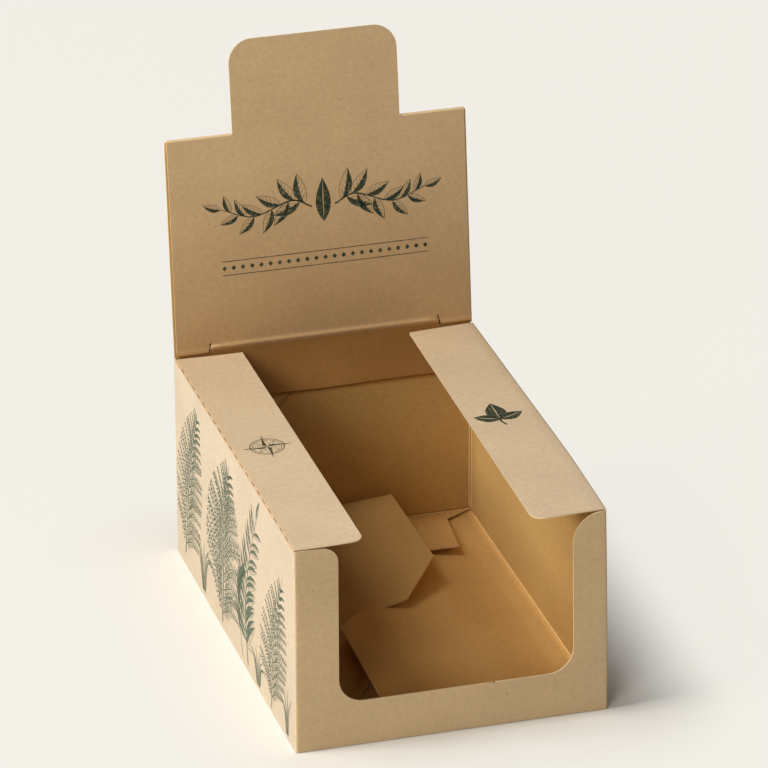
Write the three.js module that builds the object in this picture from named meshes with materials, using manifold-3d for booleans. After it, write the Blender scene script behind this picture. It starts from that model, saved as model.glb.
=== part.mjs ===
// Counter display box: a die-cut blank of solid kraft board, folded and glued.
// Millimetres, +Z up. X runs across the box, and Y from its cut-out front to its header.
// The carton is one folded sheet. Its two top flaps turn on their creases, so they are nodes of their own.

import * as THREE from 'three';
import { mergeVertices } from 'three/addons/utils/BufferGeometryUtils.js';
import Module from 'manifold-3d';

// Box
const boxWidth = 130;
const boxDepth = 187;
const boxHeight = 90;
const board = 0.6;
const clearance = 0.3;
const foldRadius = 0.9;

// Window cut out of the front and the top of the box
const sillHeight = 19.5;
const leftPostWidth = 18;
const rightPostWidth = 14.5;
const leftPostCorner = 6.3;
const rightPostCorner = 13;
const sillCorner = 10.5;
const tearOffset = 17.4;
const tearWidth = 1.2;
const tearDepth = 1.4;

// Top flaps
const leftFlapWidth = 28.5;
const rightFlapBackWidth = 29;
const rightFlapFrontWidth = 32;
const leftFlapCorner = 4;
const rightFlapCorner = 6;
const flapBackTaper = 1.8;
const perforationPitch = 8.5;
const perforationLength = 3.4;
const perforationDepth = 0.8;

// Glue panel inside the back wall
const gluePanelWidth = 95;
const gluePanelTopDrop = 3;
const gluePanelFoot = 2.5;
const glueChamferWidth = 32;
const glueChamferHeight = 38;

// Header: the lid folded double, with a tab that stands up from the fold
const headerHeight = 93.4;
const headerLean = THREE.MathUtils.degToRad(6.3);
const headerInset = 1;
const layerGap = 0.3;
const rollBulge = 0.1;
const tabWidth = 72;
const tabHeight = 40;
const tabCorner = 10;
const tabFillet = 1.2;
const creaseRise = 3.3;
const footWidth = 13.4;
const footGap = 0.45;
const hookWidth = 1.7;
const tuckDepth = 20.5;
const tuckTaper = 3;
const tuckCorner = 5;

// Locking floor: two hooked flaps from the side walls and two short flaps from the end walls
const floorRoot = 10;
const leftHookReach = 96.7;
const leftHookLift = 16;
const leftTailReach = 54;
const rightHookReach = 92.9;
const rightHookLift = 12.8;
const rightTailReach = 65;
const hookCornerOffset = 24.5;
const hookSlant = 4;
const throatReach = 76.9;
const throatOffset = 6.3;
const throatGap = 0.2;
const hookEndInset = 5;
const hookEndTaper = 2.4;
const hookEndTaperStart = 70;
const tailRoot = 8;
const tailKneeReach = 47;
const tailKneeOffset = 36;
const tailEndOffset = 20;
const shortFlapDepth = 43;
const shortFlapRise = 5;
const shortFlapStep = 0.9;
const shortFlapChamfer = 12.6;
const shortFlapChamferDepth = 8.4;
const shortFlapSlant = 5;
const shortFlapInnerBase = 42;
const shortFlapInnerTip = 12;

// Where the faces lie
const halfWidth = boxWidth / 2;
const halfDepth = boxDepth / 2;
const wallTop = boxHeight - board - clearance;
const backInside = halfDepth - board;
const tuckBack = backInside - board - clearance;
const tuckFront = tuckBack - board;
const frontHalfWidth = halfWidth - headerInset;
const rearHalfWidth = halfWidth - board / 3;
const rearBack = halfDepth - board / 6;
const creaseHeight = boxHeight + creaseRise;
const cutMargin = 5;
const arcSteps = 8;

const wasm = await Module();
wasm.setup();

// A closed geometry as a solid that can be joined and cut
function toSolid(geometry) {
  const bare = geometry.index ? geometry.toNonIndexed() : geometry.clone();
  bare.deleteAttribute('normal');
  bare.deleteAttribute('uv');
  const merged = mergeVertices(bare, 1e-5);
  return new wasm.Manifold(new wasm.Mesh({
    numProp: 3,
    vertProperties: merged.attributes.position.array,
    triVerts: new Uint32Array(merged.index.array),
  }));
}

// A solid as a geometry
function toGeometry(solid) {
  const mesh = solid.getMesh();
  const geometry = new THREE.BufferGeometry();
  geometry.setAttribute('position', new THREE.BufferAttribute(mesh.vertProperties, 3));
  geometry.setIndex(new THREE.BufferAttribute(mesh.triVerts, 1));
  geometry.computeVertexNormals();
  return geometry;
}

function join(solids) {
  return solids.reduce((whole, piece) => whole.add(piece));
}

// An outline with straight sides, given as [x, y] pairs, or [x, y, r] for a corner rounded by r
function outline(corners) {
  const shape = new THREE.Shape();
  const count = corners.length;
  const points = corners.map(([x, y]) => new THREE.Vector2(x, y));
  corners.forEach(([, , radius = 0], index) => {
    const corner = points[index];
    const before = points[(index + count - 1) % count].clone().sub(corner).normalize();
    const after = points[(index + 1) % count].clone().sub(corner).normalize();
    const halfAngle = Math.acos(THREE.MathUtils.clamp(before.dot(after), -1, 1)) / 2;
    const reach = radius / Math.tan(halfAngle);
    const start = corner.clone().addScaledVector(before, reach);
    const end = corner.clone().addScaledVector(after, reach);
    if (index === 0) {
      shape.moveTo(start.x, start.y);
    } else {
      shape.lineTo(start.x, start.y);
    }
    if (radius > 0) {
      const bisector = before.clone().add(after).normalize();
      const centre = corner.clone().addScaledVector(bisector, radius / Math.sin(halfAngle));
      const from = Math.atan2(start.y - centre.y, start.x - centre.x);
      const to = Math.atan2(end.y - centre.y, end.x - centre.x);
      shape.absarc(centre.x, centre.y, radius, from, to, before.cross(after) > 0);
    }
  });
  return shape;
}

function extrude(shape, depth) {
  return new THREE.ExtrudeGeometry(shape, { depth, bevelEnabled: false, curveSegments: arcSteps });
}

// A level plate: the outline is in X and Y, and its underside lies at z
function levelPlate(shape, thickness, z) {
  return toSolid(extrude(shape, thickness).translate(0, 0, z));
}

// An upright plate: the outline is in X and up, its back face passes through (y, z) and leans back
function uprightPlate(shape, thickness, lean, y, z) {
  const geometry = extrude(shape, thickness);
  geometry.rotateX(Math.PI / 2);
  geometry.rotateX(-lean);
  geometry.translate(0, y, z);
  return toSolid(geometry);
}

// A profile in X and Z, carried along Y from -halfDepth to halfDepth
function alongDepth(shape) {
  const geometry = extrude(shape, boxDepth);
  geometry.rotateX(Math.PI / 2);
  geometry.translate(0, halfDepth, 0);
  return toSolid(geometry);
}

// A profile in Y and Z, carried along X from one x to another
function alongWidth(shape, from, to) {
  const geometry = extrude(shape, to - from);
  geometry.rotateY(Math.PI / 2);
  geometry.rotateX(Math.PI / 2);
  geometry.translate(from, 0, 0);
  return toSolid(geometry);
}

function block(x0, x1, y0, y1, z0, z1) {
  const geometry = new THREE.BoxGeometry(x1 - x0, y1 - y0, z1 - z0);
  geometry.translate((x0 + x1) / 2, (y0 + y1) / 2, (z0 + z1) / 2);
  return toSolid(geometry);
}

// Four walls with rounded creases at the corners
function walls() {
  const inner = halfWidth - board;
  const innerRadius = foldRadius - board;
  const ring = outline([
    [-halfWidth, -halfDepth, foldRadius],
    [halfWidth, -halfDepth, foldRadius],
    [halfWidth, halfDepth, foldRadius],
    [-halfWidth, halfDepth, foldRadius],
  ]);
  ring.holes.push(outline([
    [-inner, -backInside, innerRadius],
    [inner, -backInside, innerRadius],
    [inner, backInside, innerRadius],
    [-inner, backInside, innerRadius],
  ]));
  const tube = levelPlate(ring, boxHeight, 0);
  const flapRoom = block(
    -halfWidth - cutMargin, halfWidth + cutMargin,
    -halfDepth - cutMargin, backInside - clearance / 2,
    wallTop, boxHeight + cutMargin,
  );
  return tube.subtract(flapRoom);
}

// The window through the front: a U with a rounded sill, rounded post tops and a small tear in the sill
function frontWindow() {
  const left = -halfWidth + leftPostWidth;
  const right = halfWidth - rightPostWidth;
  const top = wallTop + cutMargin;
  const window = new THREE.Shape();
  window.moveTo(left - leftPostCorner, top);
  window.lineTo(left - leftPostCorner, wallTop);
  window.absarc(left - leftPostCorner, wallTop - leftPostCorner, leftPostCorner, Math.PI / 2, 0, true);
  window.lineTo(left, sillHeight + sillCorner);
  window.absarc(left + sillCorner, sillHeight + sillCorner, sillCorner, Math.PI, Math.PI * 1.5, false);
  window.lineTo(tearOffset - tearWidth / 2, sillHeight);
  window.lineTo(tearOffset, sillHeight - tearDepth);
  window.lineTo(tearOffset + tearWidth / 2, sillHeight);
  window.absarc(right - sillCorner, sillHeight + sillCorner, sillCorner, -Math.PI / 2, 0, false);
  window.lineTo(right, wallTop - rightPostCorner);
  window.absarc(right + rightPostCorner, wallTop - rightPostCorner, rightPostCorner, Math.PI, Math.PI / 2, true);
  window.lineTo(right + rightPostCorner, top);
  const depth = board + 2 * cutMargin;
  return uprightPlate(window, depth, 0, -halfDepth + board + cutMargin, 0);
}

// The glue panel hangs on the right wall and is glued to the inside of the back wall
function gluePanel() {
  const right = halfWidth - board / 2;
  const left = right - gluePanelWidth;
  const top = boxHeight - gluePanelTopDrop;
  const shape = outline([
    [left, gluePanelFoot],
    [right, gluePanelFoot],
    [right, top],
    [left + glueChamferWidth, top],
    [left, top - glueChamferHeight],
  ]);
  return uprightPlate(shape, 1.5 * board, 0, backInside + board / 2, 0);
}

// Rear layer of the header: it hangs on the back wall's top, and the tab's outline is cut out of it
function headerRear() {
  const sheet = uprightPlate(outline([
    [-rearHalfWidth, -board],
    [rearHalfWidth, -board],
    [rearHalfWidth, headerHeight],
    [-rearHalfWidth, headerHeight],
  ]), board, headerLean, rearBack, boxHeight);
  const tabHole = uprightPlate(outline([
    [-tabWidth / 2, headerHeight + cutMargin],
    [-tabWidth / 2, headerHeight - tabHeight, tabCorner],
    [tabWidth / 2, headerHeight - tabHeight, tabCorner],
    [tabWidth / 2, headerHeight + cutMargin],
  ]), board + clearance, headerLean, rearBack + clearance / 2, boxHeight);
  return sheet.subtract(tabHole);
}

// The fold at the shoulders is a tight roll that joins the two layers
const layerReach = board + layerGap / 2;
const foldCentre = new THREE.Vector2(
  rearBack + headerHeight * Math.sin(headerLean) - layerReach * Math.cos(headerLean),
  boxHeight + headerHeight * Math.cos(headerLean) + layerReach * Math.sin(headerLean),
);

// Front layer: from the crease just above the box to the fold, on a slightly steeper slope
const frontTopBack = new THREE.Vector2(
  foldCentre.x - (layerGap / 2) * Math.cos(headerLean),
  foldCentre.y + (layerGap / 2) * Math.sin(headerLean),
);
const frontLean = Math.atan2(frontTopBack.x - tuckBack, frontTopBack.y - creaseHeight);
const frontLength = frontTopBack.distanceTo(new THREE.Vector2(tuckBack, creaseHeight));

function shoulderFolds() {
  const roll = new THREE.Shape();
  roll.absarc(foldCentre.x, foldCentre.y, layerReach + rollBulge, 0, 2 * Math.PI, false);
  const inner = tabWidth / 2 + tabFillet;
  const outer = frontHalfWidth - rollBulge;
  return join([alongWidth(roll, -outer, -inner), alongWidth(roll, inner, outer)]);
}

function headerFront() {
  const footDrop = (creaseRise - footGap) / Math.cos(frontLean);
  const footInner = frontHalfWidth - footWidth;
  const half = tabWidth / 2;
  const panel = outline([
    [-frontHalfWidth, -footDrop],
    [-footInner, -footDrop],
    [-footInner + hookWidth, -board / 4],
    [footInner - hookWidth, -board / 4],
    [footInner, -footDrop],
    [frontHalfWidth, -footDrop],
    [frontHalfWidth, frontLength],
    [half, frontLength, tabFillet],
    [half, frontLength + tabHeight, tabCorner],
    [-half, frontLength + tabHeight, tabCorner],
    [-half, frontLength, tabFillet],
    [-frontHalfWidth, frontLength],
  ]);
  return uprightPlate(panel, board, frontLean, tuckBack, creaseHeight);
}

// Tuck flap: it goes down inside the box, and the slits beside its crease leave the two feet free
function tuckFlap() {
  const footInner = frontHalfWidth - footWidth;
  const shoulder = boxHeight - clearance;
  const low = boxHeight - tuckDepth;
  const panel = outline([
    [-footInner + hookWidth, creaseHeight + board / 4],
    [-footInner, shoulder],
    [-frontHalfWidth, shoulder],
    [-frontHalfWidth + tuckTaper, low, tuckCorner],
    [frontHalfWidth - tuckTaper, low, tuckCorner],
    [frontHalfWidth, shoulder],
    [footInner, shoulder],
    [footInner - hookWidth, creaseHeight + board / 4],
  ]);
  return uprightPlate(panel, board, 0, tuckBack, 0);
}

// A locking flap in its own measures: reach from its side wall, and offset along it towards its hook
function lockFlap(side, hookReach, hookLift, tailReach) {
  const end = backInside - clearance;
  const place = ([reach, offset]) => [side * (halfWidth - reach), -side * offset];
  const corners = [
    [board / 2, -end],
    [tailRoot, -end],
    [tailKneeReach, -tailKneeOffset],
    [tailReach, -tailEndOffset],
    [tailReach, throatGap],
    [throatReach - throatOffset, throatGap],
    [throatReach, throatOffset],
    [hookReach - hookSlant, hookCornerOffset],
    [hookReach, end - hookEndInset],
    [hookEndTaperStart, end - hookEndTaper],
    [board / 2, end],
  ].map(place);
  const plan = levelPlate(outline(corners), boxHeight, -cutMargin);
  const rise = hookLift / (hookReach - floorRoot);
  const farReach = hookReach + cutMargin;
  const farHeight = rise * (farReach - floorRoot);
  const profile = outline([
    [side * halfWidth, 0],
    [side * (halfWidth - floorRoot), 0],
    [side * (halfWidth - farReach), farHeight],
    [side * (halfWidth - farReach), farHeight + board],
    [side * (halfWidth - floorRoot), board],
    [side * halfWidth, board],
  ]);
  return alongDepth(profile).intersect(plan);
}

// A short flap from an end wall, stepped up by a board's thickness so that it lies on the locking flaps
function shortFlap(end) {
  const wall = halfDepth - board / 2;
  const tip = halfDepth - shortFlapDepth;
  const outer = halfWidth - board - clearance;
  const plan = levelPlate(outline([
    [-end * shortFlapInnerBase, end * wall],
    [-end * shortFlapInnerTip, end * tip],
    [end * (outer - shortFlapChamfer - shortFlapSlant), end * tip],
    [end * (outer - shortFlapChamfer), end * (backInside - shortFlapChamferDepth)],
    [end * outer, end * backInside],
    [end * outer, end * wall],
  ]), boxHeight, -cutMargin);
  const profile = outline([
    [end * wall, shortFlapStep],
    [end * tip, shortFlapStep + shortFlapRise],
    [end * tip, shortFlapStep + shortFlapRise + board],
    [end * wall, shortFlapStep + board],
  ]);
  return alongWidth(profile, -halfWidth, halfWidth).intersect(plan);
}

const carton = join([
  walls().subtract(frontWindow()),
  gluePanel(),
  headerRear(),
  shoulderFolds(),
  headerFront(),
  tuckFlap(),
  lockFlap(-1, leftHookReach, leftHookLift, leftTailReach),
  lockFlap(1, rightHookReach, rightHookLift, rightTailReach),
  shortFlap(1),
  shortFlap(-1),
]);

// Top flaps: level panels whose back edges stop just in front of the header's feet
const footFront = tuckFront - creaseRise * Math.tan(frontLean);
const flapBack = footFront - clearance;

function leftTopFlap() {
  const hinge = -halfWidth + clearance;
  const inner = -halfWidth + leftFlapWidth;
  const corners = [
    [hinge, flapBack],
    [hinge, -halfDepth],
    [inner, -halfDepth, leftFlapCorner],
    [inner, flapBack - flapBackTaper],
  ];
  const panel = levelPlate(outline(corners), board, boxHeight - board);
  const count = Math.floor((boxDepth - perforationPitch) / perforationPitch);
  const middle = (flapBack - halfDepth) / 2;
  const cuts = Array.from({ length: count }, (unused, index) => {
    const y = middle + (index - (count - 1) / 2) * perforationPitch;
    return block(
      -halfWidth - cutMargin, hinge + perforationDepth,
      y - perforationLength / 2, y + perforationLength / 2,
      boxHeight - cutMargin, boxHeight + cutMargin,
    );
  });
  return panel.subtract(join(cuts));
}

function rightTopFlap() {
  const hinge = halfWidth - clearance;
  const corners = [
    [hinge, flapBack],
    [halfWidth - rightFlapBackWidth, flapBack - flapBackTaper],
    [halfWidth - rightFlapFrontWidth, -halfDepth, rightFlapCorner],
    [hinge, -halfDepth],
  ];
  return levelPlate(outline(corners), board, boxHeight - board);
}

function kraft(colour) {
  return new THREE.MeshStandardMaterial({ color: colour, roughness: 0.85, metalness: 0, flatShading: true });
}

function mesh(name, solid, colour) {
  const made = new THREE.Mesh(toGeometry(solid), kraft(colour));
  made.name = name;
  return made;
}

// The origin lies under the middle of the whole outline, from the front wall to the tab's top
const tabTopBack = tuckBack + (frontLength + tabHeight) * Math.sin(frontLean);
const display = new THREE.Group();
display.position.y = (halfDepth - tabTopBack) / 2;
display.add(mesh('carton', carton, 0xc39a68));
display.add(mesh('left_top_flap', leftTopFlap(), 0xd0b792));
display.add(mesh('right_top_flap', rightTopFlap(), 0xd0b792));

export default display;
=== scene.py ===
"""Counter display box of kraft board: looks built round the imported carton, laid out as an add-on."""

from types import SimpleNamespace

import bpy
import numpy as np
from mathutils import Matrix, Vector
from mathutils.geometry import delaunay_2d_cdt


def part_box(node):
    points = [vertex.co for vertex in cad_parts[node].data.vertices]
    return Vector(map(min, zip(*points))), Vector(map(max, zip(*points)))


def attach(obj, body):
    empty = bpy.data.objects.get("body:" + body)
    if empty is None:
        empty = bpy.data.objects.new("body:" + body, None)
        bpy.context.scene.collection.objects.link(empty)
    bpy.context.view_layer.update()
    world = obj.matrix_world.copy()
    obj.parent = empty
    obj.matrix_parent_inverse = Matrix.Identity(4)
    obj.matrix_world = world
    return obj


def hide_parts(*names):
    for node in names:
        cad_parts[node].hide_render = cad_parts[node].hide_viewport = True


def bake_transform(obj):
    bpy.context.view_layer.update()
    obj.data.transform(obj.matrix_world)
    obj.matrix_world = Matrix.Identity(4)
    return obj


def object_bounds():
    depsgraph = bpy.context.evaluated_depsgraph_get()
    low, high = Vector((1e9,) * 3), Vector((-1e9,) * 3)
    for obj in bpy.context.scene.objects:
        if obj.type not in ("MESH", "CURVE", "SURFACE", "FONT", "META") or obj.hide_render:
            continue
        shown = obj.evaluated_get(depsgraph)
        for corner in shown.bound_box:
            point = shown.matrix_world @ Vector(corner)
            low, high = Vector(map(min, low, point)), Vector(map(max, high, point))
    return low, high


bl_info = {
    "name": "Counter display box",
    "version": (1, 0, 0),
    "blender": (4, 5, 0),
    "location": "View3D > Sidebar > Display box",
    "description": "Builds the board, creases, print and stage of a folded counter display box",
    "category": "Add Mesh",
}

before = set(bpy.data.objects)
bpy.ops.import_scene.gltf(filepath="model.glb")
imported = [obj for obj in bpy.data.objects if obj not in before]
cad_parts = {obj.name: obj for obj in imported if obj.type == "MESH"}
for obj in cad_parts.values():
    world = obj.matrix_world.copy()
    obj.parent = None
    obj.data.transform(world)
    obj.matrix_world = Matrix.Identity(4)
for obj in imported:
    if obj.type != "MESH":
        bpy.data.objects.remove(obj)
CAD_LOW, CAD_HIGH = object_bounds()
FLAP_LOW, FLAP_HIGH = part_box("left_top_flap")

# Sizes in metres, read from the frame where it holds them
HALF_WIDTH = (CAD_HIGH.x - CAD_LOW.x) / 2
FRONT_Y = CAD_LOW.y
BOX_HEIGHT = FLAP_HIGH.z
BOARD = FLAP_HIGH.z - FLAP_LOW.z
BOX_DEPTH = 0.187
BACK_Y = FRONT_Y + BOX_DEPTH
MIDDLE_Y = FRONT_Y + BOX_DEPTH / 2
FLAP_BACK_Y = FLAP_HIGH.y
MM = 0.001

# The front right corner leans in at its top, and the lean fades out towards the back
LEAN_IN = 0.0016
LEAN_REACH = 0.06

# Materials' order on every sheet: outside, inside and cut edge
OUTSIDE, INSIDE, CUT = 0, 1, 2


def corner_lean(from_front, share):
    """How far the board leans in at a distance behind the front wall, where share is one on the right wall."""
    return LEAN_IN * (np.clip(1 - from_front / LEAN_REACH, 0, 1) * share) ** 1.5


def size_property(label, note, default, unit="LENGTH"):
    """A size in metres, or an angle in radians, that a user can change."""
    return bpy.props.FloatProperty(name=label, description=note, default=default, unit=unit)


def colour_property(label, note, default):
    """A linear colour that a user can change."""
    return bpy.props.FloatVectorProperty(
        name=label, description=note, default=default, subtype="COLOR", size=3, min=0, max=1)


class DisplayBoxSizes(bpy.types.PropertyGroup):
    """Sizes of the folds, the window and the header"""

    fold_radius: size_property("Fold radius", "Outer radius of a folded corner", 0.0011)
    wall_top_drop: size_property("Wall top drop", "How far the walls' tops lie below the flaps' tops", 0.0009)
    sill_height: size_property("Sill height", "Height of the front below its window", 0.0195)
    left_post: size_property("Left post", "Width of the front's left post", 0.018)
    right_post: size_property("Right post", "Width of the front's right post", 0.0145)
    header_height: size_property("Header height", "From the box's top to the header's fold", 0.0934)
    header_lean: size_property("Header lean", "How far the rear layer leans back", 0.10996, "ROTATION")
    tab_width: size_property("Tab width", "Width of the header's tab", 0.072)
    tab_height: size_property("Tab height", "Height of the tab above the fold", 0.040)


class DisplayBoxColours(bpy.types.PropertyGroup):
    """Colours of the board, the print and the ground"""

    outside: colour_property("Outside", "Printed side of the board", (0.56, 0.40, 0.222))
    # Painted light: a paler copy of the printed board for the left wall, which faces the lamps
    pale: colour_property("Pale side", "Left wall, which is paler", (0.60, 0.49, 0.355))
    # Painted light: a darker, warmer copy of the printed board for light bounced from inside the box
    header: colour_property("Header", "Front of the header", (0.555, 0.385, 0.205))
    # Painted light: a paler copy of the printed board for the flaps' lit upper faces
    top: colour_property("Top flaps", "Printed side of the top flaps", (0.62, 0.475, 0.31))
    # The unprinted side's own colour, made darker as painted shade for the inside of the box
    inside: colour_property("Inside", "Unprinted side of the board", (0.53, 0.325, 0.108))
    # Painted light: a brighter copy of the unprinted board for the lit floor flaps
    bottom: colour_property("Bottom", "Unprinted side of the floor flaps", (0.66, 0.415, 0.150))
    # Paler than the board: partly the pressed ridge's own colour, partly a painted highlight
    ridge: colour_property("Ridge", "Pressed ridges of the inner creases", (0.74, 0.50, 0.22))
    cut: colour_property("Cut edge", "Cut edges of the board", (0.70, 0.53, 0.33))
    ink: colour_property("Ink", "Dark print", (0.022, 0.036, 0.020))
    side_ink: colour_property("Side ink", "Lighter print on the left wall", (0.085, 0.125, 0.085))
    floor: colour_property("Floor", "Ground the box stands on", (0.80, 0.78, 0.73))


# Outlines and sheets


def rounded(corners, steps=8):
    """Outline with straight sides and round corners: each corner is (x, y) or (x, y, r), where r is the
    radius of the arc that touches both sides. Returns an array of points."""
    points = []
    count = len(corners)
    for i, corner in enumerate(corners):
        here = np.array(corner[:2], float)
        radius = corner[2] if len(corner) > 2 else 0
        if radius <= 0:
            points.append(here[None])
            continue
        before = np.array(corners[i - 1][:2], float) - here
        after = np.array(corners[(i + 1) % count][:2], float) - here
        before /= np.linalg.norm(before)
        after /= np.linalg.norm(after)
        half = np.arccos(np.clip(before @ after, -1, 1)) / 2
        centre = here + (before + after) / np.linalg.norm(before + after) * radius / np.sin(half)
        start = here + before * radius / np.tan(half) - centre
        end = here + after * radius / np.tan(half) - centre
        a0 = np.arctan2(start[1], start[0])
        turn = (np.arctan2(end[1], end[0]) - a0 + np.pi) % (2 * np.pi) - np.pi
        angles = a0 + turn * np.linspace(0, 1, steps + 1)
        points.append(centre + radius * np.stack([np.cos(angles), np.sin(angles)], 1))
    return np.concatenate(points)


SHORTEST_SIDE = 0.12 * MM
NEAR_RIM = 0.13 * MM
CDT_SCALE = 1000.0


def crossed(points, columns, rows):
    """The closed outline with a point added wherever a side crosses a column or a row."""
    made = []
    for here, there in zip(points, np.roll(points, -1, 0)):
        shares = [0.0]
        for axis, values in enumerate((columns, rows)):
            span = there[axis] - here[axis]
            if abs(span) > 1e-9:
                shares.extend((values - here[axis]) / span)
        length = np.linalg.norm(there - here)
        kept = [0.0]
        for share in np.sort(shares):
            if min(share - kept[-1], 1 - share) * length > SHORTEST_SIDE:
                kept.append(share)
        made.append(here + (there - here) * np.array(kept)[:, None])
    return np.concatenate(made)


def inside(points, loop):
    """True for each point inside the closed loop, by counting the sides to its right."""
    nexts = np.roll(loop, -1, 0)
    x, y = points[:, :1], points[:, 1:2]
    spans = (loop[:, 1] > y) != (nexts[:, 1] > y)
    rise = np.where(nexts[:, 1] == loop[:, 1], 1, nexts[:, 1] - loop[:, 1])
    cross = loop[:, 0] + (y - loop[:, 1]) / rise * (nexts[:, 0] - loop[:, 0])
    return (spans & (x < cross)).sum(1) % 2 == 1


def within(points, loops):
    """True for each point inside the first loop and outside the others."""
    kept = inside(points, loops[0])
    for hole in loops[1:]:
        kept &= ~inside(points, hole)
    return kept


def filled(loops, columns, rows):
    """Fills the first outline, less the others, with triangles on the crossings of columns and rows, whose
    lines stay edges. Points close to an outline and slivers are left out. Returns (u, v) points and triangles."""
    grid = np.stack(np.meshgrid(columns, rows), -1).reshape(-1, 2)
    grid = grid[within(grid, loops)]
    rim = np.concatenate(loops)
    nearest = np.array([np.hypot(*(rim - p).T).min() for p in grid])
    flat = np.concatenate([rim, grid[nearest > NEAR_RIM]])
    starts = np.cumsum([0] + [len(l) for l in loops[:-1]])
    edges = [
        s + np.stack([np.arange(len(l)), np.roll(np.arange(len(l)), -1)], 1) for s, l in zip(starts, loops)]
    for axis, values in ((0, columns), (1, rows)):
        for value in values:
            on_line = np.flatnonzero(np.abs(flat[:, axis] - value) < 1e-8)
            on_line = on_line[np.argsort(flat[on_line, 1 - axis])]
            links = np.stack([on_line[:-1], on_line[1:]], 1)
            edges.append(links[within(flat[links].mean(1), loops)])
    edges = np.concatenate(edges)
    verts, _, faces, *_ = delaunay_2d_cdt(
        [Vector(p) for p in flat * CDT_SCALE], edges.tolist(), [], 0, 1e-6)
    flat = np.array([v[:] for v in verts]) / CDT_SCALE
    tris = np.array([f for f in faces if len(f) == 3])
    tris = tris[within(flat[tris].mean(1), loops)]
    a, b, c = (flat[tris[:, k]] for k in range(3))
    area = (b[:, 0] - a[:, 0]) * (c[:, 1] - a[:, 1]) - (b[:, 1] - a[:, 1]) * (c[:, 0] - a[:, 0])
    tris[area < 0] = tris[area < 0][:, ::-1]
    longest = np.maximum(np.maximum(((b - a) ** 2).sum(1), ((c - b) ** 2).sum(1)), ((a - c) ** 2).sum(1))
    tris = tris[np.abs(area) > 5e-4 * longest]
    used, back = np.unique(tris, return_inverse=True)
    return flat[used], back.reshape(-1, 3)


def sheet(name, loop, columns, rows, place, materials, holes=()):
    """A sheet of board as a closed solid. The flat outline, given in (u, v), is filled with triangles,
    place(u, v) puts every point in space, and the inner face lies one board's thickness behind the outer face
    along its normals. The outer face's corners come first, then as many inner ones. Three materials: outside,
    inside and cut edge."""
    flat, tris = filled([crossed(np.asarray(l, float), columns, rows) for l in (loop, *holes)], columns, rows)
    outer = place(flat[:, 0], flat[:, 1])
    face_normals = np.cross(outer[tris[:, 1]] - outer[tris[:, 0]], outer[tris[:, 2]] - outer[tris[:, 0]])
    normals = np.zeros_like(outer)
    for k in range(3):
        np.add.at(normals, tris[:, k], face_normals)
    normals /= np.linalg.norm(normals, axis=1)[:, None]
    count = len(outer)
    directed = np.concatenate([tris[:, [0, 1]], tris[:, [1, 2]], tris[:, [2, 0]]])
    key = directed[:, 0] * count + directed[:, 1]
    border = directed[~np.isin(key, directed[:, 1] * count + directed[:, 0])]
    quads = np.stack([border[:, 1], border[:, 0], border[:, 0] + count, border[:, 1] + count], 1)
    mesh = bpy.data.meshes.new(name)
    mesh.from_pydata(
        np.concatenate([outer, outer - BOARD * normals]).tolist(), [],
        tris.tolist() + (tris[:, ::-1] + count).tolist() + quads.tolist())
    slots = np.repeat([OUTSIDE, INSIDE, CUT], [len(tris), len(tris), len(quads)])
    for material in materials:
        mesh.materials.append(material)
    mesh.polygons.foreach_set("material_index", slots.astype(np.int32))
    mesh.polygons.foreach_set("use_smooth", np.ones(len(slots), bool))
    set_grain(mesh, np.concatenate([flat, flat + 0.37]))
    ends = np.zeros(2 * len(mesh.edges), np.int32)
    mesh.edges.foreach_get("vertices", ends)
    ends = np.sort(ends.reshape(-1, 2), 1)
    rim_keys = np.sort(border, 1)
    rim_keys = np.concatenate([rim_keys, rim_keys + count])
    sharp = np.isin(ends[:, 0] * 2 * count + ends[:, 1], rim_keys[:, 0] * 2 * count + rim_keys[:, 1])
    attribute = mesh.attributes.new("sharp_edge", "BOOLEAN", "EDGE")
    attribute.data.foreach_set("value", sharp)
    mesh.update()
    return add_object(name, mesh)


def add_object(name, data):
    made = bpy.data.objects.new(name, data)
    bpy.context.scene.collection.objects.link(made)
    return made


def set_grain(mesh, flat):
    """Gives every corner its place on the flat board, in decimetres, for the board's grain."""
    corner = np.zeros(len(mesh.loops), np.int32)
    mesh.loops.foreach_get("vertex_index", corner)
    layer = mesh.uv_layers.new(name="Board")
    layer.data.foreach_set("uv", (flat[corner] * 10).astype(np.float32).ravel())


def paint(piece, name, amount):
    """Stores amount(x, y, z), from 0 to 1, on each corner for the board's material. "crease" is how strongly
    the board is creased there, which the material shows paler: partly the pressed board's own colour, partly a
    painted highlight. "shade" is painted shade: how far its colour goes to a deeper, warmer tint."""
    co = np.zeros(3 * len(piece.data.vertices), np.float32)
    piece.data.vertices.foreach_get("co", co)
    values = np.clip(amount(*co.reshape(-1, 3).T), 0, 1).astype(np.float32)
    piece.data.attributes.new(name, "FLOAT", "POINT").data.foreach_set("value", values)


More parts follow.
